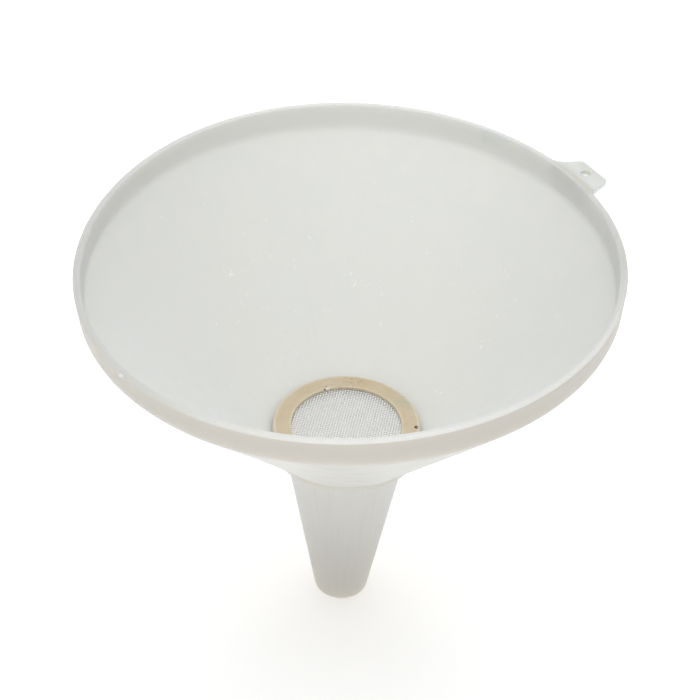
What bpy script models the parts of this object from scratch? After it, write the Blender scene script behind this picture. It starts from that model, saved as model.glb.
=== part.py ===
"""Wide-mouth plastic funnel with a drop-in strainer.

Three real pieces: one moulding that is the whole funnel, with its rim band,
cone, strainer seat, spout and hang tab, and a strainer that lifts out of it,
which is a flat ring moulded round the edge of a woven screen.

Frame: +Z up, origin on the axis in the plane of the spout's open tip, and the
hang tab on the +X side.
"""
import math

import bmesh
import bpy
from mathutils import Matrix, Vector

MM = 0.001

# Funnel, outside
MOUTH_RADIUS = 100.0 * MM
BAND_HEIGHT = 10.5 * MM
BAND_DRAFT = 0.5 * MM
BAND_FILLET = 5.0 * MM
CONE_HEIGHT = 80.4 * MM
COLLAR_HEIGHT = 2.9 * MM
COLLAR_DRAFT = 0.4 * MM
SPOUT_LENGTH = 84.7 * MM
SPOUT_TIP_RADIUS = 11.4 * MM

# Funnel, walls and edges
LIP_WIDTH = 2.6 * MM
BAND_WALL = 2.4 * MM
CONE_WALL = 2.4 * MM
SEAT_WALL = 1.7 * MM
SEAT_FLOOR = 3.2 * MM
LEDGE_WIDTH = 6.3 * MM
SPOUT_TOP_WALL = 2.0 * MM
SPOUT_TIP_WALL = 1.8 * MM
EDGE_ROUND = 0.5 * MM

# Hang tab
TAB_REACH = 10.5 * MM
TAB_ROOT_WIDTH = 26.0 * MM
TAB_END_WIDTH = 16.5 * MM
TAB_CORNER = 2.6 * MM
TAB_THICKNESS = 2.2 * MM
TAB_DROP = 1.0 * MM
HANG_HOLE_RADIUS = 2.05 * MM
HANG_HOLE_REACH = 5.8 * MM

# Strainer
RING_RADIUS = 29.0 * MM
RING_WIDTH = 7.2 * MM
RING_THICKNESS = 3.6 * MM
RING_TOP_LIP = 0.9 * MM
RING_GRIP = 3.2 * MM
SCREEN_THICKNESS = 0.8 * MM
SCREEN_PITCH = 3.6 * MM
SCREEN_BAR = 1.1 * MM
GAP = 0.3 * MM

# Facets
FUNNEL_FACETS = 96
STRAINER_FACETS = 72
HOLE_FACETS = 20

# What follows from the sizes above
SEAT_RADIUS = RING_RADIUS + GAP
FOOT_RADIUS = SEAT_RADIUS + SEAT_WALL
BORE_TOP_RADIUS = SEAT_RADIUS - LEDGE_WIDTH
SPOUT_TOP_RADIUS = BORE_TOP_RADIUS + SPOUT_TOP_WALL
FOOT_Z = SPOUT_LENGTH + COLLAR_HEIGHT
SEAT_Z = SPOUT_LENGTH + SEAT_FLOOR
BAND_Z = FOOT_Z + CONE_HEIGHT
RIM_Z = BAND_Z + BAND_HEIGHT
BAND_FOOT_RADIUS = MOUTH_RADIUS - BAND_DRAFT
CONE_SLOPE = CONE_HEIGHT / (BAND_FOOT_RADIUS - FOOT_RADIUS)
RING_Z = SEAT_Z + GAP
RING_TOP_Z = RING_Z + RING_THICKNESS
SCREEN_TOP_Z = RING_TOP_Z - RING_TOP_LIP - GAP
SCREEN_RADIUS = RING_RADIUS - RING_WIDTH + RING_GRIP - GAP


def clear_scene():
    for old in list(bpy.data.objects):
        bpy.data.objects.remove(old, do_unlink=True)


def plastic(name, colour, roughness):
    material = bpy.data.materials.new(name)
    material.use_nodes = True
    shader = material.node_tree.nodes["Principled BSDF"]
    shader.inputs["Base Color"].default_value = (*colour, 1.0)
    shader.inputs["Roughness"].default_value = roughness
    shader.inputs["Metallic"].default_value = 0.0
    return material


def add_object(name, bm, material):
    bmesh.ops.recalc_face_normals(bm, faces=bm.faces)
    mesh = bpy.data.meshes.new(name)
    bm.to_mesh(mesh)
    bm.free()
    obj = bpy.data.objects.new(name, mesh)
    bpy.context.collection.objects.link(obj)
    if material:
        mesh.materials.append(material)
        mesh.shade_smooth()
        mesh.set_sharp_from_angle(angle=math.radians(35.0))
    return obj


def as_cutter(obj):
    obj.hide_render = True
    obj.display_type = "WIRE"
    return obj


def combine(obj, other, operation):
    change = obj.modifiers.new(other.name, "BOOLEAN")
    change.operation = operation
    change.solver = "EXACT"
    change.object = other


def rounded_outline(corners):
    """Closed outline from corners (x, y, fillet radius, arc steps).

    A fillet takes at most 45% of the shorter edge beside its corner."""
    outline = []
    count = len(corners)
    for i, (x, y, radius, steps) in enumerate(corners):
        here = Vector((x, y))
        back = Vector(corners[i - 1][:2]) - here
        ahead = Vector(corners[(i + 1) % count][:2]) - here
        if radius == 0.0:
            outline.append(here)
            continue
        half = back.angle(ahead) / 2.0
        tangent = min(radius / math.tan(half), 0.45 * min(back.length, ahead.length))
        fillet = tangent * math.tan(half)
        centre = here + (back.normalized() + ahead.normalized()).normalized() * (fillet / math.sin(half))
        start = here + back.normalized() * tangent - centre
        sweep = start.angle_signed(here + ahead.normalized() * tangent - centre)
        for step in range(steps + 1):
            turn = Matrix.Rotation(-sweep * step / steps, 2)
            outline.append(centre + turn @ start)
    return outline


def turned(name, profile, facets, material):
    """Solid of revolution about Z from a closed profile of (radius, height) points."""
    bm = bmesh.new()
    ring = [bm.verts.new((point[0], 0.0, point[1])) for point in profile]
    edges = [bm.edges.new((a, b)) for a, b in zip(ring, ring[1:] + ring[:1])]
    bmesh.ops.spin(bm, geom=ring + edges, axis=(0, 0, 1), cent=(0, 0, 0), angle=math.tau,
                   steps=facets, use_merge=True)
    bmesh.ops.remove_doubles(bm, verts=bm.verts, dist=1e-6)
    return add_object(name, bm, material)


def extruded(name, outline, low, high, material=None):
    """Straight prism between two heights from a closed outline of (x, y) points."""
    bm = bmesh.new()
    face = bm.faces.new([bm.verts.new((point[0], point[1], low)) for point in outline])
    top = bmesh.ops.extrude_face_region(bm, geom=[face])["geom"]
    lifted = [item for item in top if isinstance(item, bmesh.types.BMVert)]
    bmesh.ops.translate(bm, verts=lifted, vec=(0.0, 0.0, high - low))
    return add_object(name, bm, material)


def circle(radius, facets, centre=(0.0, 0.0)):
    points = []
    for step in range(facets):
        angle = math.tau * step / facets
        points.append((centre[0] + radius * math.cos(angle), centre[1] + radius * math.sin(angle)))
    return points


def cone_inside_z(radius):
    """Height of the cone's inner face, one wall thickness inside its outer face."""
    wall_height = CONE_WALL * math.hypot(1.0, CONE_SLOPE)
    return FOOT_Z + CONE_SLOPE * (radius - FOOT_RADIUS) + wall_height


def funnel_profile():
    band_inside = BAND_FOOT_RADIUS - BAND_WALL
    corners = [
        (MOUTH_RADIUS, RIM_Z, EDGE_ROUND, 2),
        (BAND_FOOT_RADIUS, BAND_Z, BAND_FILLET, 4),
        (FOOT_RADIUS, FOOT_Z, EDGE_ROUND, 1),
        (FOOT_RADIUS - COLLAR_DRAFT, SPOUT_LENGTH, EDGE_ROUND, 2),
        (SPOUT_TOP_RADIUS, SPOUT_LENGTH, 2.0 * EDGE_ROUND, 2),
        (SPOUT_TIP_RADIUS, 0.0, EDGE_ROUND, 1),
        (SPOUT_TIP_RADIUS - SPOUT_TIP_WALL, 0.0, 0.0, 0),
        (BORE_TOP_RADIUS, SEAT_Z, EDGE_ROUND, 1),
        (SEAT_RADIUS, SEAT_Z, 0.0, 0),
        (SEAT_RADIUS, cone_inside_z(SEAT_RADIUS), EDGE_ROUND, 1),
        (band_inside, cone_inside_z(band_inside), BAND_FILLET, 4),
        (MOUTH_RADIUS - LIP_WIDTH, RIM_Z, EDGE_ROUND, 2),
    ]
    return rounded_outline(corners)


def tab_outline():
    """The root is an arc in the middle of the band's wall, and the end is straight."""
    root_radius = MOUTH_RADIUS - 0.5 * BAND_WALL
    spread = math.asin(0.5 * TAB_ROOT_WIDTH / root_radius)
    end = MOUTH_RADIUS + TAB_REACH
    corners = [(end, -0.5 * TAB_END_WIDTH, TAB_CORNER, 4), (end, 0.5 * TAB_END_WIDTH, TAB_CORNER, 4)]
    root_steps = 6
    for step in range(root_steps + 1):
        angle = spread * (1.0 - 2.0 * step / root_steps)
        corners.append((root_radius * math.cos(angle), root_radius * math.sin(angle), 0.0, 0))
    return rounded_outline(corners)


def make_funnel():
    milky = plastic("funnel_polyethylene", (0.80, 0.80, 0.77), 0.42)
    body = turned("funnel_body", funnel_profile(), FUNNEL_FACETS, milky)
    tab_top = RIM_Z - TAB_DROP
    tab = as_cutter(extruded("tab_blank", tab_outline(), tab_top - TAB_THICKNESS, tab_top))
    combine(body, tab, "UNION")
    hole_centre = (MOUTH_RADIUS + HANG_HOLE_REACH, 0.0)
    hole_outline = circle(HANG_HOLE_RADIUS, HOLE_FACETS, hole_centre)
    hole = as_cutter(extruded("hang_hole", hole_outline, tab_top - 2.0 * TAB_THICKNESS, RIM_Z))
    combine(body, hole, "DIFFERENCE")
    return body


def ring_profile():
    """Flat ring with rounded outer edges and a groove in its bore for the screen's edge."""
    inner = RING_RADIUS - RING_WIDTH
    groove = inner + RING_GRIP
    groove_top = RING_TOP_Z - RING_TOP_LIP
    groove_bottom = groove_top - SCREEN_THICKNESS - 2.0 * GAP
    corners = [
        (RING_RADIUS, RING_TOP_Z, EDGE_ROUND, 2),
        (RING_RADIUS, RING_Z, EDGE_ROUND, 1),
        (inner, RING_Z, 0.0, 0),
        (inner, groove_bottom, 0.0, 0),
        (groove, groove_bottom, 0.0, 0),
        (groove, groove_top, 0.0, 0),
        (inner, groove_top, 0.0, 0),
        (inner, RING_TOP_Z, 0.0, 0),
    ]
    return rounded_outline(corners)


def screen_cells():
    """Square openings on a grid, each wholly inside the screen's plain border."""
    opening = SCREEN_PITCH - SCREEN_BAR
    limit = SCREEN_RADIUS - SCREEN_BAR
    reach = math.ceil(limit / SCREEN_PITCH)
    centres = []
    for column in range(-reach, reach + 1):
        for row in range(-reach, reach + 1):
            x = column * SCREEN_PITCH
            y = row * SCREEN_PITCH
            if math.hypot(abs(x) + 0.5 * opening, abs(y) + 0.5 * opening) < limit:
                centres.append((x, y))
    return centres, opening


def make_strainer(lift):
    tan = plastic("ring_aged_plastic", (0.60, 0.50, 0.34), 0.5)
    white = plastic("screen_nylon", (0.66, 0.66, 0.64), 0.45)
    ring = turned("strainer_ring", ring_profile(), STRAINER_FACETS, tan)

    low = SCREEN_TOP_Z - SCREEN_THICKNESS
    screen = extruded("strainer_mesh", circle(SCREEN_RADIUS, STRAINER_FACETS), low, SCREEN_TOP_Z, white)
    centres, opening = screen_cells()
    bm = bmesh.new()
    for x, y in centres:
        place = Matrix.Translation((x, y, low + 0.5 * SCREEN_THICKNESS))
        size = Matrix.Diagonal((opening, opening, 3.0 * SCREEN_THICKNESS, 1.0))
        bmesh.ops.create_cube(bm, size=1.0, matrix=place @ size)
    cells = as_cutter(add_object("screen_cells", bm, None))
    combine(screen, cells, "DIFFERENCE")

    for piece in (ring, screen, cells):
        piece.parent = lift


def main():
    clear_scene()
    make_funnel()
    lift = bpy.data.objects.new("strainer_lift_axis", None)
    bpy.context.collection.objects.link(lift)
    make_strainer(lift)


main()
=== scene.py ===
"""Looks of a wide-mouth plastic funnel with a drop-in strainer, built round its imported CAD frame."""
import math

import bmesh
import bpy
from mathutils import Matrix, Quaternion, Vector, noise


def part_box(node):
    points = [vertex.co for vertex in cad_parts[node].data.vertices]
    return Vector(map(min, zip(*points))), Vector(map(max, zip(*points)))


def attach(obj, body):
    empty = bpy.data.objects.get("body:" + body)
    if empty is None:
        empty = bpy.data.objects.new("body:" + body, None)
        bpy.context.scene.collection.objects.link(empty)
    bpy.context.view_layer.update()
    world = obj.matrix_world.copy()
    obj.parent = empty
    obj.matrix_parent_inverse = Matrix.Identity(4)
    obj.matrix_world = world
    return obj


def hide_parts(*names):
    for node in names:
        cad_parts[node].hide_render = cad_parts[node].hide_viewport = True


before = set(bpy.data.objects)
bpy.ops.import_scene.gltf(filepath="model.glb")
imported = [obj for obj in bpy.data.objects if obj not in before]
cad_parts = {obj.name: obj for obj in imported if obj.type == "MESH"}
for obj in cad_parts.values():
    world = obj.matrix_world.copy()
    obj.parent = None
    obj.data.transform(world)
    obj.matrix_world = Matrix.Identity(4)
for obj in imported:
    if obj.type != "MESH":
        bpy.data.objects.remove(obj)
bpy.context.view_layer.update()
MM = 0.001


# ---------------------------------------------------------------- Funnel
# One injection moulding in natural polyethylene: rim band, cone, strainer seat with its collar, and
# tapered spout are one wall turned about the axis, and the hang tab stands out of the rim band.

def linear(colour):
    """Linear RGBA from an sRGB hex colour such as "F2F1EC"."""
    channels = [int(colour[i:i + 2], 16) / 255.0 for i in (0, 2, 4)]
    return (*[c / 12.92 if c <= 0.04045 else ((c + 0.055) / 1.055) ** 2.4 for c in channels], 1.0)


def add(tree, kind, inputs=None, **settings):
    """A new node. inputs maps a socket's name or number to a value or to another node's output."""
    node = tree.nodes.new(kind)
    for setting, value in settings.items():
        setattr(node, setting, value)
    for socket, value in (inputs or {}).items():
        if isinstance(value, bpy.types.NodeSocket):
            tree.links.new(value, node.inputs[socket])
        else:
            node.inputs[socket].default_value = value
    return node


def new_material(name):
    """A material with its tree, its one Principled shader and the object's own coordinates."""
    material = bpy.data.materials.new(name)
    material.use_nodes = True
    tree = material.node_tree
    place = add(tree, "ShaderNodeTexCoord").outputs["Object"]
    return material, tree, tree.nodes["Principled BSDF"], place


def rounded_outline(corners):
    """Closed outline from corners (x, y, fillet radius, arc steps). A fillet takes up to 45% of a side."""
    outline = []
    for i, (x, y, radius, steps) in enumerate(corners):
        here = Vector((x, y))
        if radius == 0.0:
            outline.append(here)
            continue
        back = Vector(corners[i - 1][:2]) - here
        ahead = Vector(corners[(i + 1) % len(corners)][:2]) - here
        half = back.angle(ahead) / 2.0
        tangent = min(radius / math.tan(half), 0.45 * min(back.length, ahead.length))
        fillet = tangent * math.tan(half)
        centre = here + (back.normalized() + ahead.normalized()).normalized() * (fillet / math.sin(half))
        start = here + back.normalized() * tangent - centre
        sweep = start.angle_signed(here + ahead.normalized() * tangent - centre)
        for step in range(steps + 1):
            outline.append(centre + Matrix.Rotation(-sweep * step / steps, 2) @ start)
    return outline


def refined(outline, longest):
    """The same closed outline with its long straight stretches divided."""
    points = []
    for here, ahead in zip(outline, outline[1:] + outline[:1]):
        pieces = max(1, math.ceil((ahead - here).length / longest))
        points += [here.lerp(ahead, k / pieces) for k in range(pieces)]
    return points


def turning_tree():
    """Geometry Nodes: turns a closed profile in the XZ plane about the Z axis."""
    tree = bpy.data.node_groups.new("turned_wall", "GeometryNodeTree")
    tree.interface.new_socket("Profile", in_out="INPUT", socket_type="NodeSocketGeometry")
    tree.interface.new_socket("Facets", in_out="INPUT", socket_type="NodeSocketInt")
    tree.interface.new_socket("Sharp angle", in_out="INPUT", socket_type="NodeSocketFloat")
    tree.interface.new_socket("Material", in_out="INPUT", socket_type="NodeSocketMaterial")
    tree.interface.new_socket("Wall", in_out="OUTPUT", socket_type="NodeSocketGeometry")
    given = add(tree, "NodeGroupInput").outputs
    count = add(tree, "GeometryNodeAttributeDomainSize",
                {"Geometry": given["Profile"]}).outputs["Point Count"]
    rows = add(tree, "ShaderNodeMath", {0: count, 1: 1.0}, operation="ADD").outputs[0]
    columns = add(tree, "ShaderNodeMath", {0: given["Facets"], 1: 1.0}, operation="ADD").outputs[0]
    grid = add(tree, "GeometryNodeMeshGrid", {"Vertices X": columns, "Vertices Y": rows}).outputs["Mesh"]
    index = add(tree, "GeometryNodeInputIndex").outputs[0]
    share = add(tree, "ShaderNodeMath", {0: index, 1: rows}, operation="DIVIDE").outputs[0]
    column = add(tree, "ShaderNodeMath", {0: share}, operation="FLOOR").outputs[0]
    row = add(tree, "ShaderNodeMath", {0: index, 1: rows}, operation="MODULO").outputs[0]
    point = add(tree, "ShaderNodeMath", {0: row, 1: count}, operation="MODULO").outputs[0]
    position = add(tree, "GeometryNodeInputPosition").outputs[0]
    sample = add(tree, "GeometryNodeSampleIndex", data_type="FLOAT_VECTOR")
    tree.links.new(given["Profile"], sample.inputs["Geometry"])
    tree.links.new(position, sample.inputs["Value"])
    tree.links.new(point, sample.inputs["Index"])
    turn = add(tree, "ShaderNodeMath", {0: column, 1: math.tau}, operation="MULTIPLY").outputs[0]
    angle = add(tree, "ShaderNodeMath", {0: turn, 1: given["Facets"]}, operation="DIVIDE").outputs[0]
    turned = add(tree, "ShaderNodeVectorRotate", {"Vector": sample.outputs["Value"], "Angle": angle},
                 rotation_type="Z_AXIS").outputs[0]
    placed = add(tree, "GeometryNodeSetPosition", {"Geometry": grid, "Position": turned}).outputs[0]
    closed = add(tree, "GeometryNodeMergeByDistance", {"Geometry": placed,
                                                       "Distance": 0.001 * MM}).outputs[0]
    smooth = add(tree, "GeometryNodeSetShadeSmooth", {"Geometry": closed,
                                                      "Shade Smooth": True}).outputs[0]
    bend = add(tree, "GeometryNodeInputMeshEdgeAngle").outputs["Unsigned Angle"]
    sharp = add(tree, "FunctionNodeCompare", {0: bend, 1: given["Sharp angle"]},
                operation="GREATER_THAN").outputs[0]
    creased = add(tree, "GeometryNodeSetShadeSmooth", {"Geometry": smooth, "Selection": sharp,
                                                       "Shade Smooth": False},
                  domain="EDGE").outputs[0]
    named = add(tree, "GeometryNodeSetMaterial", {"Geometry": creased,
                                                  "Material": given["Material"]}).outputs[0]
    add(tree, "NodeGroupOutput", {"Wall": named})
    return tree


def outcome(name, start, tree, values):
    """A plain mesh object from a Geometry Nodes tree run on a starting mesh."""
    maker = bpy.data.objects.new(name + "_maker", start)
    bpy.context.collection.objects.link(maker)
    run = maker.modifiers.new("make", "NODES")
    run.node_group = tree
    sockets = {item.name: item.identifier for item in tree.interface.items_tree if item.in_out == "INPUT"}
    for socket, value in values.items():
        run[sockets[socket]] = value
    seen = maker.evaluated_get(bpy.context.evaluated_depsgraph_get())
    mesh = bpy.data.meshes.new_from_object(seen, depsgraph=bpy.context.evaluated_depsgraph_get())
    maker.modifiers.remove(run)
    bpy.data.objects.remove(maker)
    finish = mesh.materials[-1]
    mesh.materials.clear()
    mesh.materials.append(finish)
    mesh.polygons.foreach_set("material_index", [0] * len(mesh.polygons))
    piece = bpy.data.objects.new(name, mesh)
    mesh.name = name
    bpy.context.collection.objects.link(piece)
    return piece


def profile_mesh(points):
    """A closed line of (radius, height) points in the XZ plane, run clockwise. A wall turned from it
    faces inwards: joining the tab rights the funnel's, and the ring's is left so, which is a fault."""
    area = sum(a[0] * b[1] - b[0] * a[1] for a, b in zip(points, points[1:] + points[:1]))
    if area > 0.0:
        points = points[::-1]
    mesh = bpy.data.meshes.new("profile")
    count = len(points)
    mesh.from_pydata([(r, 0.0, z) for r, z in points], [(i, (i + 1) % count) for i in range(count)], [])
    return mesh


def polyethylene():
    """Natural low-density polyethylene, injection moulded and worn.

    Light goes some way into it, so thin walls glow and edges look soft. The skin is satin, clouded in
    soft patches, with faint flow lines and pale scuffs. Painted shade makes the outside greyer and warmer
    than the inside, darkens the cone towards the band and the spout towards its tip, and covers the
    collar, where no light comes through, and the wall of the hang hole. Painted light makes the spout
    much paler than the cone, and a painted highlight makes the lip paler on its front side."""
    material, tree, shader, place = new_material("natural_polyethylene")
    spot = add(tree, "ShaderNodeSeparateXYZ", {0: place}).outputs
    out_from_axis = add(tree, "ShaderNodeCombineXYZ", {"X": spot["X"], "Y": spot["Y"]}).outputs[0]
    direction = add(tree, "ShaderNodeVectorMath", {0: out_from_axis}, operation="NORMALIZE").outputs[0]

    cloud = add(tree, "ShaderNodeTexNoise", {"Vector": place, "Scale": 1.0 / (45.0 * MM),
                                             "Detail": 3.0}).outputs[0]
    colour = add(tree, "ShaderNodeMix", {0: cloud, 6: linear("B1BABD"), 7: linear("C1C0BC")},
                 data_type="RGBA").outputs[2]
    # Painted shade: the cone is painted darker towards the band, which tones down the light on the upper
    # bowl.
    painted_shade_up_cone = add(tree, "ShaderNodeMapRange", {0: spot["Z"], 1: foot_z, 2: band_z, 3: 0.0,
                                                   4: 0.65}).outputs[0]
    colour = add(tree, "ShaderNodeMix", {0: painted_shade_up_cone, 6: colour, 7: linear("A9AEB0")},
                 data_type="RGBA").outputs[2]
    patch = add(tree, "ShaderNodeTexNoise", {"Vector": place, "Scale": 1.0 / (9.0 * MM), "Detail": 4.0,
                                             "Roughness": 0.65}).outputs[0]
    patchy = add(tree, "ShaderNodeMapRange", {0: patch, 1: 0.42, 2: 0.68, 3: 0.0, 4: 0.3}).outputs[0]
    colour = add(tree, "ShaderNodeMix", {0: patchy, 6: colour, 7: linear("B9B9B6")},
                 data_type="RGBA").outputs[2]

    flow_height = add(tree, "ShaderNodeMath", {0: spot["Z"], 1: 1.5}, operation="MULTIPLY").outputs[0]
    flow_place = add(tree, "ShaderNodeCombineXYZ", {"Z": flow_height}).outputs[0]
    flow_place = add(tree, "ShaderNodeVectorMath", {0: direction, 1: flow_place},
                     operation="ADD").outputs[0]
    flow = add(tree, "ShaderNodeTexNoise", {"Vector": flow_place, "Scale": 24.0,
                                            "Detail": 3.0}).outputs[0]
    flow_mark = add(tree, "ShaderNodeMapRange", {0: flow, 1: 0.5, 2: 0.75, 3: 0.0, 4: 0.15}).outputs[0]
    colour = add(tree, "ShaderNodeMix", {0: flow_mark, 6: colour, 7: linear("AEB5B5")},
                 data_type="RGBA").outputs[2]

    outer = add(tree, "ShaderNodeAttribute", attribute_name="outer_skin").outputs["Fac"]
    # Painted shade: the outside of the wall is painted greyer and warmer than the inside.
    painted_shade_outside = add(tree, "ShaderNodeMath", {0: outer, 1: 0.8}, operation="MULTIPLY").outputs[0]
    colour = add(tree, "ShaderNodeMix", {0: painted_shade_outside, 6: colour, 7: linear("A6A6A3")},
                 data_type="RGBA").outputs[2]
    in_spout = add(tree, "ShaderNodeMapRange", {0: spot["Z"], 1: foot_z + 1.0 * MM, 2: foot_z - 3.0 * MM,
                                                3: 0.0, 4: 1.0}).outputs[0]
    # Painted light: the spout is painted much paler than the cone, palest on its inside.
    spout_painted_light = add(tree, "ShaderNodeMix", {0: outer, 6: linear("FAF9F5"), 7: linear("ECE6D7")},
                     data_type="RGBA").outputs[2]
    colour = add(tree, "ShaderNodeMix", {0: in_spout, 6: colour, 7: spout_painted_light},
                 data_type="RGBA").outputs[2]
    # Painted shade: the spout is painted darker and warmer towards its tip, where less light comes through.
    painted_shade_to_tip = add(tree, "ShaderNodeMapRange", {0: spot["Z"], 1: spout_length, 2: 0.0, 3: 0.0,
                                                   4: 1.0}).outputs[0]
    colour = add(tree, "ShaderNodeMix", {0: painted_shade_to_tip, 6: colour, 7: linear("D3CABA")},
                 data_type="RGBA").outputs[2]
    run_mark = add(tree, "ShaderNodeMath", {0: flow_mark, 1: in_spout}, operation="MULTIPLY").outputs[0]
    run_mark = add(tree, "ShaderNodeMath", {0: run_mark, 1: 0.8}, operation="MULTIPLY",
                   use_clamp=True).outputs[0]
    colour = add(tree, "ShaderNodeMix", {0: run_mark, 6: colour, 7: linear("B5AD9D")},
                 data_type="RGBA").outputs[2]
    # Painted shade: the collar's outside, where no light comes through, is painted a flat darker colour.
    in_collar = add(tree, "ShaderNodeMapRange", {0: spot["Z"], 1: foot_z + 0.9 * MM,
                                                 2: foot_z - 0.1 * MM,
                                                 3: 0.0, 4: 1.0}).outputs[0]
    off_collar = add(tree, "ShaderNodeMapRange", {0: spot["Z"], 1: spout_length - 1.6 * MM,
                                                  2: spout_length - 0.8 * MM,
                                                  3: 0.0, 4: 1.0}).outputs[0]
    collar_painted_shade = add(tree, "ShaderNodeMath", {0: in_collar, 1: off_collar}, operation="MULTIPLY").outputs[0]
    collar_painted_shade = add(tree, "ShaderNodeMath", {0: collar_painted_shade, 1: outer}, operation="MULTIPLY").outputs[0]
    colour = add(tree, "ShaderNodeMix", {0: collar_painted_shade, 6: colour, 7: linear("D0CDC4")},
                 data_type="RGBA").outputs[2]
    in_band = add(tree, "ShaderNodeMapRange", {0: spot["Z"], 1: band_z - 2.0 * MM, 2: band_z + 3.0 * MM,
                                               3: 0.0, 4: 0.85}).outputs[0]
    # The band's inside keeps its tone, and its outside is painted darker and warmer as painted shade.
    band_tone_and_shade = add(tree, "ShaderNodeMix", {0: outer, 6: linear("B0B3B4"), 7: linear("A5A19B")},
                    data_type="RGBA").outputs[2]
    colour = add(tree, "ShaderNodeMix", {0: in_band, 6: colour, 7: band_tone_and_shade},
                 data_type="RGBA").outputs[2]

    rub = add(tree, "ShaderNodeTexNoise", {"Vector": place, "Scale": 1.0 / (3.5 * MM), "Detail": 5.0,
                                           "Roughness": 0.7, "Distortion": 1.5}).outputs[0]
    scuff = add(tree, "ShaderNodeMapRange", {0: rub, 1: 0.63, 2: 0.72, 3: 0.0, 4: 0.5}).outputs[0]
    below_band = add(tree, "ShaderNodeMapRange", {0: spot["Z"], 1: band_z, 2: band_z - 40.0 * MM,
                                                  3: 0.1, 4: 1.0}).outputs[0]
    scuff = add(tree, "ShaderNodeMath", {0: scuff, 1: below_band}, operation="MULTIPLY").outputs[0]
    colour = add(tree, "ShaderNodeMix", {0: scuff, 6: colour, 7: linear("DDE0DF")},
                 data_type="RGBA").outputs[2]
    # Painted highlight: the lip is painted paler on its front side in place of glints on its edge, and
    # elsewhere it takes a tone close to the band's. The shreds of flash are whitened.
    on_lip = add(tree, "ShaderNodeAttribute", attribute_name="lip_highlight_and_burr").outputs["Fac"]
    lip_highlight_share = add(tree, "ShaderNodeMapRange", {0: rub, 1: 0.3, 2: 0.7, 3: 0.75, 4: 1.0}).outputs[0]
    lip_highlight_share = add(tree, "ShaderNodeMath", {0: on_lip, 1: lip_highlight_share}, operation="MULTIPLY").outputs[0]
    highlight_side = add(tree, "ShaderNodeVectorMath", {0: direction, 1: (-0.1, -0.995, 0.0)},
                       operation="DOT_PRODUCT").outputs["Value"]
    highlight_side = add(tree, "ShaderNodeMapRange", {0: highlight_side, 1: 0.5, 2: 0.85}).outputs[0]
    lip_tone_and_highlight = add(tree, "ShaderNodeMix", {0: highlight_side, 6: linear("A9ABA6"), 7: linear("C6C7C3")},
                   data_type="RGBA").outputs[2]
    colour = add(tree, "ShaderNodeMix", {0: lip_highlight_share, 6: colour, 7: lip_tone_and_highlight}, data_type="RGBA").outputs[2]
    whitened = add(tree, "ShaderNodeMapRange", {0: on_lip, 1: 1.0, 2: 2.0}).outputs[0]
    colour = add(tree, "ShaderNodeMix", {0: whitened, 6: colour, 7: linear("F6F6F4")},
                 data_type="RGBA").outputs[2]
    out = add(tree, "ShaderNodeVectorMath", {0: out_from_axis}, operation="LENGTH").outputs["Value"]
    along_tab = add(tree, "ShaderNodeMapRange", {0: out, 1: mouth_radius + 2.0 * MM,
                                                 2: tab_end}).outputs[0]
    tab_skin = add(tree, "ShaderNodeMix", {0: along_tab, 6: linear("A8AEAE"), 7: linear("959A99")},
                   data_type="RGBA").outputs[2]
    on_tab = add(tree, "ShaderNodeMapRange", {0: out, 1: mouth_radius + 0.3 * MM,
                                              2: mouth_radius + 0.9 * MM,
                                              3: 0.0, 4: 0.95}).outputs[0]
    tab_side = add(tree, "ShaderNodeMath", {0: spot["X"], 1: tab_side_from},
                   operation="GREATER_THAN").outputs[0]
    on_tab = add(tree, "ShaderNodeMath", {0: on_tab, 1: tab_side}, operation="MULTIPLY").outputs[0]
    colour = add(tree, "ShaderNodeMix", {0: on_tab, 6: colour, 7: tab_skin}, data_type="RGBA").outputs[2]
    # Painted shade: the wall of the hang hole is painted dark.
    from_hole = add(tree, "ShaderNodeVectorMath", {0: out_from_axis, 1: (hole_x, 0.0, 0.0)},
                    operation="DISTANCE").outputs["Value"]
    hole_painted_shade = add(tree, "ShaderNodeMapRange", {0: from_hole, 1: hole_radius + 0.4 * MM,
                                             2: hole_radius + 0.1 * MM,
                                             3: 0.0, 4: 0.75}).outputs[0]
    colour = add(tree, "ShaderNodeMix", {0: hole_painted_shade, 6: colour, 7: linear("868987")},
                 data_type="RGBA").outputs[2]
    tree.links.new(colour, shader.inputs["Base Color"])

    satin = add(tree, "ShaderNodeMapRange", {0: patch, 1: 0.3, 2: 0.7, 3: 0.34, 4: 0.46}).outputs[0]
    worn = add(tree, "ShaderNodeMix", {0: scuff, 2: satin, 3: 0.62}, data_type="FLOAT").outputs[0]
    tree.links.new(worn, shader.inputs["Roughness"])
    skin = add(tree, "ShaderNodeTexNoise", {"Vector": place, "Scale": 1.0 / (0.8 * MM),
                                            "Detail": 2.0}).outputs[0]
    relief = add(tree, "ShaderNodeMath", {0: skin, 1: flow}, operation="ADD").outputs[0]
    relief = add(tree, "ShaderNodeMath", {0: scuff, 1: 0.6, 2: relief},
                 operation="MULTIPLY_ADD").outputs[0]
    bump = add(tree, "ShaderNodeBump", {"Height": relief, "Strength": 0.25,
                                        "Distance": 0.1 * MM}).outputs[0]
    tree.links.new(bump, shader.inputs["Normal"])
    shader.inputs["IOR"].default_value = 1.51
    # The glow is switched off where the collar's painted shade is.
    clear = add(tree, "ShaderNodeMath", {0: 1.0, 1: collar_painted_shade}, operation="SUBTRACT").outputs[0]
    tree.links.new(clear, shader.inputs["Subsurface Weight"])
    shader.inputs["Subsurface Radius"].default_value = (1.0, 0.95, 0.85)
    shader.inputs["Subsurface Scale"].default_value = 20.0 * MM
    shader.inputs["Specular IOR Level"].default_value = 0.35
    return material


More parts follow.
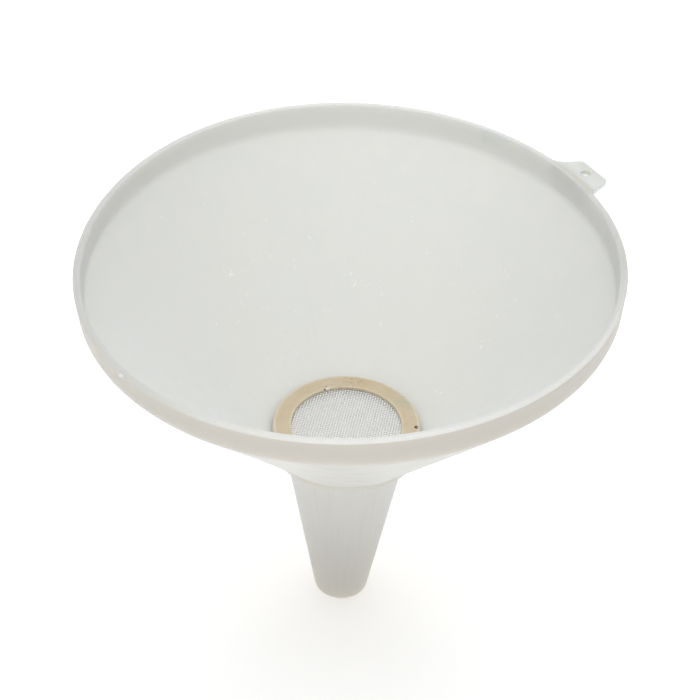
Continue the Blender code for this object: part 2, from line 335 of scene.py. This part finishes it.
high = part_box("funnel_body")[1]
rim_z = high.z
mouth_radius = high.y
band_height = 11.0 * MM
band_draft = 1.15 * MM
band_fillet = 5.0 * MM
cone_height = 80.4 * MM
collar_height = 2.9 * MM
wall = 2.4 * MM
lip_width = 2.6 * MM
seat_radius = 29.3 * MM
collar_radius = 31.0 * MM
spout_top_radius = 25.0 * MM
spout_tip_radius = 11.4 * MM
spout_tip_wall = 1.8 * MM
collar_draft = 0.4 * MM
seat_rise = 3.2 * MM
seat_width = 6.3 * MM
wall_facets = 320
sharp_angle = math.radians(60.0)

band_z = rim_z - band_height
foot_z = band_z - cone_height
spout_length = foot_z - collar_height
seat_z = spout_length + seat_rise
band_foot_radius = mouth_radius - band_draft
cone_slope = cone_height / (band_foot_radius - collar_radius)


def cone_inside_z(radius):
    return foot_z + cone_slope * (radius - collar_radius) + wall * math.hypot(1.0, cone_slope)


funnel_corners = [
    (mouth_radius, rim_z, 0.7 * MM, 6),
    (band_foot_radius, band_z, band_fillet, 12),
    (collar_radius, foot_z, 0.5 * MM, 4),
    (collar_radius - collar_draft, spout_length, 0.6 * MM, 5),
    (spout_top_radius, spout_length, 1.0 * MM, 5),
    (spout_tip_radius, 0.0, 0.5 * MM, 4),
    (spout_tip_radius - spout_tip_wall, 0.0, 0.4 * MM, 3),
    (seat_radius - seat_width, seat_z, 0.5 * MM, 3),
    (seat_radius, seat_z, 0.3 * MM, 2),
    (seat_radius, cone_inside_z(seat_radius), 0.5 * MM, 4),
    (band_foot_radius - wall, cone_inside_z(band_foot_radius - wall), band_fillet, 12),
    (mouth_radius - lip_width, rim_z, 0.7 * MM, 6),
]
tab_drop = 1.0 * MM
tab_thickness = 2.2 * MM
tab_top = rim_z - tab_drop
tab_bottom = tab_top - tab_thickness
tab_end = high.x
tab_root_width = 26.0 * MM
tab_end_width = 16.5 * MM
tab_corner = 2.6 * MM
tab_flare = 3.0 * MM
tab_edge = 0.4 * MM
tab_side_from = 0.9 * mouth_radius
hole_reach = 5.8 * MM
hole_x = mouth_radius + hole_reach
hole_radius = 1.8 * MM
hole_draft = 0.15 * MM
hole_edge = 0.12 * MM
gusset_rise = 0.9 * MM
gusset_reach = 5.0 * MM

funnel_plastic = polyethylene()
turned_wall = turning_tree()
funnel_line = refined(rounded_outline(funnel_corners), 4.0 * MM)
funnel = outcome("funnel", profile_mesh(funnel_line), turned_wall,
                 {"Facets": wall_facets, "Sharp angle": sharp_angle, "Material": funnel_plastic})


def on_circle(radius, angle):
    return radius * math.cos(angle), radius * math.sin(angle)


def tab_outline():
    """The plate seen from above: a straight end with round corners, sides that flare into the band,
    and an inner end buried in the band's wall."""
    root = math.asin(0.5 * tab_root_width / mouth_radius)
    buried = root + math.radians(1.2)
    corners = [(tab_end, -0.5 * tab_end_width, tab_corner, 8),
               (tab_end, 0.5 * tab_end_width, tab_corner, 8),
               (*on_circle(mouth_radius - 0.1 * MM, root), tab_flare, 6)]
    for step in range(9):
        corners.append((*on_circle(mouth_radius - 1.0 * MM, buried * (1.0 - step / 4.0)), 0.0, 0))
    corners.append((*on_circle(mouth_radius - 0.1 * MM, -root), tab_flare, 6))
    return rounded_outline(corners)


def hang_tab():
    """The plate with its hole: one closed section, from the hole's wall out to the plate's edge and
    back underneath, carried right round the hole."""
    divisions = 8
    centre = Vector((hole_x, 0.0))
    rings = []
    for edge_point in refined(tab_outline(), 1.2 * MM):
        reach = edge_point - centre
        span = reach.length - hole_radius
        section = rounded_outline([(0.0, tab_top, hole_edge, 3), (span, tab_top, tab_edge, 3),
                                   (span, tab_bottom, tab_edge, 3), (-hole_draft, tab_bottom, hole_edge, 3)])
        # Every rounded corner has four points, so the flat stretches run from point 3 and point 11.
        across_top = [section[3].lerp(section[4], k / divisions) for k in range(1, divisions)]
        across_bottom = [section[11].lerp(section[12], k / divisions) for k in range(1, divisions)]
        section = section[:4] + across_top + section[4:12] + across_bottom + section[12:]
        ring_points = []
        for out, z in section:
            x, y = centre + reach.normalized() * (hole_radius + out)
            climb = max(0.0, 1.0 - (math.hypot(x, y) - mouth_radius) / gusset_reach)
            if z > 0.5 * (tab_top + tab_bottom):
                z += gusset_rise * min(climb, 1.0) ** 2
            ring_points.append((x, y, z))
        rings.append(ring_points)
    return closed_rings("hang_tab", rings)


def closed_rings(name, rings):
    """Mesh of a closed row of closed rings, each joined to the next, facing outwards."""
    count = len(rings[0])
    points = [point for ring_points in rings for point in ring_points]
    faces = []
    for i in range(len(rings)):
        ahead = (i + 1) % len(rings)
        for k in range(count):
            after = (k + 1) % count
            faces.append((i * count + k, ahead * count + k, ahead * count + after, i * count + after))
    mesh = bpy.data.meshes.new(name)
    mesh.from_pydata(points, [], faces)
    tidy = bmesh.new()
    tidy.from_mesh(mesh)
    bmesh.ops.recalc_face_normals(tidy, faces=tidy.faces)
    tidy.to_mesh(mesh)
    tidy.free()
    return mesh


def burr(name, azimuth, radius, z, size, seed):
    """A shred of flash left on the lip: a small lump, pulled long and bent by a fixed noise."""
    lump = bmesh.new()
    bmesh.ops.create_icosphere(lump, subdivisions=3, radius=1.0)
    for vert in lump.verts:
        bulge = 1.0 + 0.35 * noise.noise(1.7 * vert.co + Vector((seed, 0.0, 0.0)))
        vert.co = Vector((vert.co.x * size[0], vert.co.y * size[1], vert.co.z * size[2])) * bulge
    place = Matrix.Rotation(azimuth, 4, "Z") @ Matrix.Translation((radius, 0.0, z))
    bmesh.ops.transform(lump, matrix=place, verts=lump.verts)
    mesh = bpy.data.meshes.new(name)
    lump.to_mesh(mesh)
    lump.free()
    return mesh


def welded(piece, mesh):
    """Joins a closed mesh to a closed piece, as one solid where they overlap."""
    extra = bpy.data.objects.new("extra", mesh)
    mesh.materials.append(piece.data.materials[0])
    bpy.context.collection.objects.link(extra)
    union = piece.modifiers.new("union", "BOOLEAN")
    union.operation = "UNION"
    union.solver = "EXACT"
    union.object = extra
    scene_now = bpy.context.evaluated_depsgraph_get()
    joined = bpy.data.meshes.new_from_object(piece.evaluated_get(scene_now), depsgraph=scene_now)
    piece.modifiers.remove(union)
    bpy.data.objects.remove(extra)
    piece.data = joined
    joined.name = piece.name


welded(funnel, hang_tab())
# Each shred: its turn in degrees, mm out and up from the lip's outer edge, half sizes in mm, seed.
# The shred at -48.5 degrees stops just short of the lip, so it stays a separate shell.
lip_burrs = [(-165.0, 0.2, 0.0, (0.6, 1.1, 0.5), 3.0), (-48.5, 0.1, 0.1, (0.4, 0.8, 0.35), 8.0),
             (174.5, 0.0, -0.1, (0.35, 0.6, 0.35), 5.0)]
for azimuth, out, up, size, seed in lip_burrs:
    shred = burr("lip_burr", math.radians(azimuth), mouth_radius + out * MM, rim_z + up * MM,
                 [s * MM for s in size], seed)
    welded(funnel, shred)


mouth_growth = 0.67 * MM
oval_along_tab = 0.48 * MM
oval_diagonal = 5.0 * MM
tilt_at_tab = 0.67 * MM
tilt_at_side = 2.15 * MM
lip_drop = 1.0 * MM
saddle_along_tab = 1.2 * MM
saddle_diagonal = 0.12 * MM


def out_of_round(x, y, z):
    """Where a point of the moulding has moved to: the soft mouth has gone slightly oval and no longer
    lies quite flat, and the give fades to nothing at the foot of the cone."""
    give = max(0.0, (z - foot_z) / (rim_z - foot_z)) ** 2
    radius = math.hypot(x, y)
    turn = math.atan2(y, x)
    spread = give * (mouth_growth - oval_along_tab * math.cos(2.0 * turn)
                     + oval_diagonal * math.sin(2.0 * turn))
    tilt = (radius / mouth_radius) * (-tilt_at_tab * math.cos(turn) - tilt_at_side * math.sin(turn))
    saddle = (-lip_drop - saddle_along_tab * math.cos(2.0 * turn)
              + saddle_diagonal * math.sin(2.0 * turn))
    share = (radius + spread) / radius
    return x * share, y * share, z + give * (tilt + saddle)


def mid_wall(z):
    """Radius of the middle of the wall at a height."""
    if z > band_z:
        return mouth_radius - band_draft * (rim_z - z) / band_height - 0.5 * lip_width
    if z > foot_z:
        return collar_radius + (z - foot_z) / cone_slope - 0.6 * wall
    if z > spout_length:
        return 0.5 * (collar_radius + seat_radius)
    return spout_tip_radius + (spout_top_radius - spout_tip_radius) * z / spout_length - 0.5 * spout_tip_wall


# Shares of the lip's colour, which holds a painted highlight on the front side, for the lip's outer part,
# its inner part and the gusset. The shreds of flash are whitened.
burr_wear = 2.0
outer_lip_highlight = 1.0
inner_lip_highlight = 0.4
gusset_highlight = 0.6
lip_depth = 0.75 * MM
outer_lip_width = 1.0 * MM
crease_angle = math.radians(50.0)
# The lip attribute marks the lip and gusset for the painted highlight, and the shreds of flash for
# whitening.
lip_highlight_and_burr = funnel.data.attributes.new("lip_highlight_and_burr", "FLOAT", "POINT")
outer_skin = funnel.data.attributes.new("outer_skin", "FLOAT", "POINT")
for vertex in funnel.data.vertices:
    radius = math.hypot(vertex.co.x, vertex.co.y)
    away_from_tab = vertex.co.x < tab_side_from
    on_lip = vertex.co.z > rim_z - lip_depth and radius < mouth_radius + 0.01 * MM
    lip_highlight = outer_lip_highlight if radius > mouth_radius - outer_lip_width else inner_lip_highlight
    on_burr = away_from_tab and (vertex.co.z > rim_z + 0.02 * MM or radius > mouth_radius + 0.02 * MM)
    on_gusset = vertex.co.z > tab_top + 0.1 * MM and mouth_radius + 1.0 * MM < radius
    lip_highlight_and_burr.data[vertex.index].value = (burr_wear if on_burr else lip_highlight if on_lip
                                         else gusset_highlight if on_gusset else 0.0)
    outer_skin.data[vertex.index].value = 1.0 if radius > mid_wall(vertex.co.z) else 0.0
for vertex in funnel.data.vertices:
    if vertex.co.z > foot_z:
        vertex.co = out_of_round(*vertex.co)

shaded = bmesh.new()
shaded.from_mesh(funnel.data)
bmesh.ops.remove_doubles(shaded, verts=shaded.verts, dist=0.001 * MM)
for face in shaded.faces:
    face.smooth = True
for edge in shaded.edges:
    edge.smooth = edge.calc_face_angle(0.0) < crease_angle
shaded.to_mesh(funnel.data)
shaded.free()
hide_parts("funnel_body")
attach(funnel, "funnel")


# ---------------------------------------------------------------- Strainer ring
# Flat ring moulded round the screen's edge, in a plastic that has yellowed with age and use.

def aged_plastic():
    """Yellowed polypropylene with a satin skin: the body has tanned, the outer edge is paler,
    brown stains have soaked in, one side is greenish, and there are a dark speck, a pale one, and two
    small brown marks beside it."""
    material, tree, shader, place = new_material("yellowed_polypropylene")
    spot = add(tree, "ShaderNodeSeparateXYZ", {0: place}).outputs
    out_from_axis = add(tree, "ShaderNodeCombineXYZ", {"X": spot["X"], "Y": spot["Y"]}).outputs[0]
    radius = add(tree, "ShaderNodeVectorMath", {0: out_from_axis}, operation="LENGTH").outputs["Value"]

    cloud = add(tree, "ShaderNodeTexNoise", {"Vector": place, "Scale": 1.0 / (7.0 * MM),
                                             "Detail": 4.0}).outputs[0]
    colour = add(tree, "ShaderNodeMix", {0: cloud, 6: linear("C7B28C"), 7: linear("D0C5AF")},
                 data_type="RGBA").outputs[2]
    pale = add(tree, "ShaderNodeMapRange", {0: radius, 1: ring_radius - 1.6 * MM,
                                            2: ring_radius - 0.4 * MM,
                                            3: 0.0, 4: 0.75}).outputs[0]
    colour = add(tree, "ShaderNodeMix", {0: pale, 6: colour, 7: linear("DDD6C6")},
                 data_type="RGBA").outputs[2]
    bore_edge = add(tree, "ShaderNodeMapRange", {0: radius, 1: ring_bore + 0.7 * MM,
                                                 2: ring_bore + 0.1 * MM,
                                                 3: 0.0, 4: 0.7}).outputs[0]
    colour = add(tree, "ShaderNodeMix", {0: bore_edge, 6: colour, 7: linear("DED5C0")},
                 data_type="RGBA").outputs[2]

    green_side = add(tree, "ShaderNodeVectorMath", {0: out_from_axis, 1: green_spot},
                     operation="DISTANCE").outputs["Value"]
    green_side = add(tree, "ShaderNodeMapRange", {0: green_side, 1: 9.0 * MM, 2: 2.0 * MM, 3: 0.0,
                                                  4: 1.0}).outputs[0]
    green_patch = add(tree, "ShaderNodeTexNoise", {"Vector": place, "Scale": 1.0 / (3.0 * MM),
                                                   "Detail": 3.0}).outputs[0]
    green_patch = add(tree, "ShaderNodeMapRange", {0: green_patch, 1: 0.35, 2: 0.55, 3: 0.0,
                                                   4: 0.85}).outputs[0]
    green = add(tree, "ShaderNodeMath", {0: green_side, 1: green_patch}, operation="MULTIPLY").outputs[0]
    colour = add(tree, "ShaderNodeMix", {0: green, 6: colour, 7: linear("BBB9A1")},
                 data_type="RGBA").outputs[2]

    stain_side = add(tree, "ShaderNodeVectorMath", {0: out_from_axis, 1: stain_spot},
                     operation="DISTANCE").outputs["Value"]
    stain_side = add(tree, "ShaderNodeMapRange", {0: stain_side, 1: 17.0 * MM, 2: 4.0 * MM, 3: 0.25,
                                                  4: 1.0}).outputs[0]
    stain = add(tree, "ShaderNodeTexNoise", {"Vector": place, "Scale": 1.0 / (1.6 * MM), "Detail": 5.0,
                                             "Roughness": 0.7}).outputs[0]
    stain = add(tree, "ShaderNodeMapRange", {0: stain, 1: 0.52, 2: 0.68, 3: 0.0, 4: 0.6}).outputs[0]
    stain = add(tree, "ShaderNodeMath", {0: stain, 1: stain_side}, operation="MULTIPLY").outputs[0]
    colour = add(tree, "ShaderNodeMix", {0: stain, 6: colour, 7: linear("A4895A")},
                 data_type="RGBA").outputs[2]
    for speck_place, speck_size, speck_colour in specks:
        near = add(tree, "ShaderNodeVectorMath", {0: place, 1: speck_place},
                   operation="DISTANCE").outputs["Value"]
        near = add(tree, "ShaderNodeMapRange", {0: near, 1: speck_size, 2: 0.6 * speck_size}).outputs[0]
        colour = add(tree, "ShaderNodeMix", {0: near, 6: colour, 7: linear(speck_colour)},
                     data_type="RGBA").outputs[2]
    tree.links.new(colour, shader.inputs["Base Color"])

    satin = add(tree, "ShaderNodeMapRange", {0: stain, 1: 0.0, 2: 0.8, 3: 0.42, 4: 0.65}).outputs[0]
    tree.links.new(satin, shader.inputs["Roughness"])
    skin = add(tree, "ShaderNodeTexNoise", {"Vector": place, "Scale": 1.0 / (0.5 * MM),
                                            "Detail": 2.0}).outputs[0]
    relief = add(tree, "ShaderNodeMath", {0: stain, 1: 1.5, 2: skin},
                 operation="MULTIPLY_ADD").outputs[0]
    bump = add(tree, "ShaderNodeBump", {"Height": relief, "Strength": 0.3,
                                        "Distance": 0.1 * MM}).outputs[0]
    tree.links.new(bump, shader.inputs["Normal"])
    shader.inputs["IOR"].default_value = 1.49
    shader.inputs["Subsurface Weight"].default_value = 0.6
    shader.inputs["Subsurface Radius"].default_value = (1.0, 0.9, 0.7)
    shader.inputs["Subsurface Scale"].default_value = 2.0 * MM
    return material


low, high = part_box("strainer_ring")
ring_radius = high.y
ring_bottom = low.z
ring_top = high.z
ring_width = 7.2 * MM
ring_bore = ring_radius - ring_width
ring_facets = 192
green_spot = (28.4 * MM, 1.0 * MM, 0.0)
stain_spot = (15.8 * MM, 20.5 * MM, 0.0)
specks = [((22.6 * MM, -15.6 * MM, ring_top), 1.05 * MM, "221F1C"),
          ((23.0 * MM, -15.9 * MM, ring_top), 0.5 * MM, "A89668"),
          ((4.2 * MM, 21.4 * MM, ring_top), 1.0 * MM, "EDE9DE"),
          ((2.9 * MM, 21.6 * MM, ring_top), 0.6 * MM, "5A4A33"),
          ((4.4 * MM, 22.6 * MM, ring_top), 0.35 * MM, "8A734A")]
ring_corners = [
    (ring_radius, ring_top, 0.7 * MM, 5),
    (ring_radius, ring_bottom, 0.5 * MM, 4),
    (ring_bore, ring_bottom, 0.2 * MM, 2),
    (ring_bore, ring_top, 0.35 * MM, 4),
]
ring_line = refined(rounded_outline(ring_corners), 2.0 * MM)
ring = outcome("strainer_ring_moulding", profile_mesh(ring_line), turned_wall,
               {"Facets": ring_facets, "Sharp angle": sharp_angle, "Material": aged_plastic()})
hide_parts("strainer_ring")
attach(ring, "strainer")


# ---------------------------------------------------------------- Strainer screen
# Plain-woven screen of fine round thread, about 24 openings an inch, cut to a disc before the ring
# was moulded on. Each thread passes over one thread and under the next.

def weaving_tree():
    """Geometry Nodes: two crossed sets of waving threads, cut to a disc."""
    tree = bpy.data.node_groups.new("woven_screen", "GeometryNodeTree")
    tree.interface.new_socket("Start", in_out="INPUT", socket_type="NodeSocketGeometry")
    for size in ("Radius", "Pitch", "Thread", "Turn", "Height"):
        tree.interface.new_socket(size, in_out="INPUT", socket_type="NodeSocketFloat")
    tree.interface.new_socket("Steps per pitch", in_out="INPUT", socket_type="NodeSocketInt")
    tree.interface.new_socket("Material", in_out="INPUT", socket_type="NodeSocketMaterial")
    tree.interface.new_socket("Screen", in_out="OUTPUT", socket_type="NodeSocketGeometry")
    given = add(tree, "NodeGroupInput").outputs
    half = add(tree, "ShaderNodeMath", {0: given["Radius"], 1: given["Pitch"]},
               operation="DIVIDE").outputs[0]
    half = add(tree, "ShaderNodeMath", {0: half}, operation="CEIL").outputs[0]
    across = add(tree, "ShaderNodeMath", {0: half, 1: 2.0, 2: 1.0}, operation="MULTIPLY_ADD").outputs[0]
    span = add(tree, "ShaderNodeMath", {0: half, 1: given["Pitch"]}, operation="MULTIPLY").outputs[0]
    start = add(tree, "ShaderNodeMath", {0: span, 1: -1.0}, operation="MULTIPLY").outputs[0]
    steps = add(tree, "ShaderNodeMath", {0: half, 1: given["Steps per pitch"]},
                operation="MULTIPLY").outputs[0]
    along = add(tree, "ShaderNodeMath", {0: steps, 1: 2.0, 2: 1.0}, operation="MULTIPLY_ADD").outputs[0]
    step = add(tree, "ShaderNodeMath", {0: given["Pitch"], 1: given["Steps per pitch"]},
               operation="DIVIDE").outputs[0]
    row_start = add(tree, "ShaderNodeCombineXYZ", {"Y": start}).outputs[0]
    row_step = add(tree, "ShaderNodeCombineXYZ", {"Y": given["Pitch"]}).outputs[0]
    line_start = add(tree, "ShaderNodeCombineXYZ", {"X": start}).outputs[0]
    line_step = add(tree, "ShaderNodeCombineXYZ", {"X": step}).outputs[0]
    rows = add(tree, "GeometryNodeMeshLine", {"Count": across, "Start Location": row_start,
                                              "Offset": row_step}).outputs[0]
    line = add(tree, "GeometryNodeMeshLine", {"Count": along, "Start Location": line_start,
                                              "Offset": line_step}).outputs[0]
    laid = add(tree, "GeometryNodeInstanceOnPoints", {"Points": rows, "Instance": line}).outputs[0]
    flat = add(tree, "GeometryNodeRealizeInstances", {"Geometry": laid}).outputs[0]
    position = add(tree, "GeometryNodeInputPosition").outputs[0]
    spot = add(tree, "ShaderNodeSeparateXYZ", {"Vector": position}).outputs
    both = add(tree, "ShaderNodeMath", {0: spot["X"], 1: spot["Y"]}, operation="ADD").outputs[0]
    phase = add(tree, "ShaderNodeMath", {0: both, 1: given["Pitch"]}, operation="DIVIDE").outputs[0]
    phase = add(tree, "ShaderNodeMath", {0: phase, 1: math.pi}, operation="MULTIPLY").outputs[0]
    wave = add(tree, "ShaderNodeMath", {0: phase}, operation="COSINE").outputs[0]
    rise = add(tree, "ShaderNodeMath", {0: given["Thread"], 1: 0.5}, operation="MULTIPLY").outputs[0]
    sway = add(tree, "ShaderNodeMath", {0: rise, 1: 0.6}, operation="MULTIPLY").outputs[0]
    lift = add(tree, "ShaderNodeMath", {0: wave, 1: sway}, operation="MULTIPLY").outputs[0]
    offset = add(tree, "ShaderNodeCombineXYZ", {"Z": lift}).outputs[0]
    waved = add(tree, "GeometryNodeSetPosition", {"Geometry": flat, "Offset": offset}).outputs[0]
    reach = add(tree, "ShaderNodeVectorMath", {0: position}, operation="LENGTH").outputs["Value"]
    outside = add(tree, "FunctionNodeCompare", {0: reach, 1: given["Radius"]},
                  operation="GREATER_THAN").outputs[0]
    warp = add(tree, "GeometryNodeDeleteGeometry", {"Geometry": waved, "Selection": outside},
               domain="POINT").outputs[0]
    weft = add(tree, "GeometryNodeTransform", {"Geometry": warp, "Rotation": (0.0, 0.0, math.pi / 2.0),
                                               "Scale": (1.0, 1.0, -1.0)}).outputs[0]
    both_sets = add(tree, "GeometryNodeJoinGeometry")
    tree.links.new(warp, both_sets.inputs[0])
    tree.links.new(weft, both_sets.inputs[0])
    curves = add(tree, "GeometryNodeMeshToCurve", {"Mesh": both_sets.outputs[0]}).outputs[0]
    section = add(tree, "GeometryNodeCurvePrimitiveCircle", {"Resolution": 5, "Radius": rise}).outputs[0]
    tubes = add(tree, "GeometryNodeCurveToMesh", {"Curve": curves, "Profile Curve": section,
                                                  "Fill Caps": True}).outputs[0]
    turn = add(tree, "ShaderNodeCombineXYZ", {"Z": given["Turn"]}).outputs[0]
    height = add(tree, "ShaderNodeCombineXYZ", {"Z": given["Height"]}).outputs[0]
    placed = add(tree, "GeometryNodeTransform", {"Geometry": tubes, "Translation": height,
                                                 "Rotation": turn}).outputs[0]
    smooth = add(tree, "GeometryNodeSetShadeSmooth", {"Geometry": placed,
                                                      "Shade Smooth": True}).outputs[0]
    whole = add(tree, "GeometryNodeRealizeInstances", {"Geometry": smooth}).outputs[0]
    named = add(tree, "GeometryNodeSetMaterial", {"Geometry": whole,
                                                  "Material": given["Material"]}).outputs[0]
    add(tree, "NodeGroupOutput", {"Screen": named})
    return tree


def monofilament():
    """Drawn nylon monofilament, smooth and slightly see-through, gone a little grey."""
    material, tree, shader, place = new_material("nylon_monofilament")
    cloud = add(tree, "ShaderNodeTexNoise", {"Vector": place, "Scale": 150.0, "Detail": 2.0}).outputs[0]
    colour = add(tree, "ShaderNodeMix", {0: cloud, 6: linear("F8F8F6"), 7: linear("FDFDFC")},
                 data_type="RGBA").outputs[2]
    tree.links.new(colour, shader.inputs["Base Color"])
    shader.inputs["IOR"].default_value = 1.53
    shader.inputs["Roughness"].default_value = 0.3
    shader.inputs["Subsurface Weight"].default_value = 0.6
    shader.inputs["Subsurface Radius"].default_value = (1.0, 1.0, 1.0)
    shader.inputs["Subsurface Scale"].default_value = 0.3 * MM
    return material


screen_low, screen_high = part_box("strainer_mesh")
thread_pitch = 1.05 * MM
thread_thickness = 0.42 * MM
screen_turn = math.radians(48.0)
steps_per_pitch = 4
screen = outcome("woven_screen", bpy.data.meshes.new("start"), weaving_tree(),
                 {"Radius": screen_high.y, "Pitch": thread_pitch, "Thread": thread_thickness,
                  "Turn": screen_turn, "Height": 0.5 * (screen_low.z + screen_high.z),
                  "Steps per pitch": steps_per_pitch, "Material": monofilament()})
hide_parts("strainer_mesh")
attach(screen, "strainer")


# ---------------------------------------------------------------- Studio
# Plain pale floor at the height of the spout's tip, one wide soft light overhead and even light
# from all round, as in a light tent.

def matt_paper():
    """Matt white backing paper."""
    material, tree, shader, place = new_material("backing_paper")
    grain = add(tree, "ShaderNodeTexNoise", {"Vector": place, "Scale": 60.0, "Detail": 2.0}).outputs[0]
    colour = add(tree, "ShaderNodeMix", {0: grain, 6: linear("F4F4F3"), 7: linear("F6F6F5")},
                 data_type="RGBA").outputs[2]
    tree.links.new(colour, shader.inputs["Base Color"])
    shader.inputs["Roughness"].default_value = 0.9
    shader.inputs["Emission Color"].default_value = linear("FFFFFF")
    shader.inputs["Emission Strength"].default_value = 0.34
    return material


floor_half = 12.0
floor_mesh = bpy.data.meshes.new("floor")
floor_mesh.from_pydata([(x * floor_half, y * floor_half, 0.0) for x,
                        y in ((-1, -1), (1, -1), (1, 1), (-1, 1))],
                       [], [(0, 1, 2, 3)])
floor_mesh.materials.append(matt_paper())
floor = bpy.data.objects.new("floor", floor_mesh)
bpy.context.collection.objects.link(floor)

room = bpy.data.worlds.new("light_tent")
room.use_nodes = True
room.node_tree.nodes["Background"].inputs["Color"].default_value = linear("FFFFFF")
room.node_tree.nodes["Background"].inputs["Strength"].default_value = 0.5
bpy.context.scene.world = room
bpy.context.scene.view_settings.view_transform = "Standard"

overhead = bpy.data.lights.new("overhead", "AREA")
overhead.shape = "DISK"
overhead.size = 1.8
overhead.energy = 11.8
lamp = bpy.data.objects.new("overhead", overhead)
lamp.location = (0.14, 0.24, 1.15)
lamp.rotation_euler = (Vector((0.0, 0.0, 0.1)) - lamp.location).to_track_quat("-Z", "Y").to_euler()
bpy.context.collection.objects.link(lamp)

fill = bpy.data.lights.new("low_fill", "AREA")
fill.shape = "DISK"
fill.size = 0.3
fill.energy = 2.0
fill_lamp = bpy.data.objects.new("low_fill", fill)
fill_lamp.location = (-0.6, -1.0, 0.16)
fill_lamp.rotation_euler = (Vector((0.0, 0.0, 0.06)) - fill_lamp.location).to_track_quat("-Z",
                                                                                         "Y").to_euler()
bpy.context.collection.objects.link(fill_lamp)

view_turn = math.radians(-32.82)
view_height = math.radians(34.27)
view_distance = 0.4541
view_roll = math.radians(2.13)
aim_depth = 49.58 * MM
aim_side = 0.3 * MM
side = Vector((math.cos(view_turn), math.sin(view_turn), 0.0))
back = Vector((math.sin(view_turn) * math.cos(view_height), -math.cos(view_turn) * math.cos(view_height),
               math.sin(view_height)))
eye = bpy.data.cameras.new("eye")
eye.sensor_width = 36.0
eye.lens = 66.39
camera = bpy.data.objects.new("eye", eye)
camera.location = Vector((0.0, 0.0, rim_z)) + view_distance * back
aim = Vector((0.0, 0.0, rim_z - aim_depth)) + aim_side * side
look = (aim - camera.location).to_track_quat("-Z", "Y") @ Quaternion((0.0, 0.0, 1.0), view_roll)
camera.rotation_mode = "QUATERNION"
camera.rotation_quaternion = look
bpy.context.collection.objects.link(camera)
bpy.context.scene.camera = camera
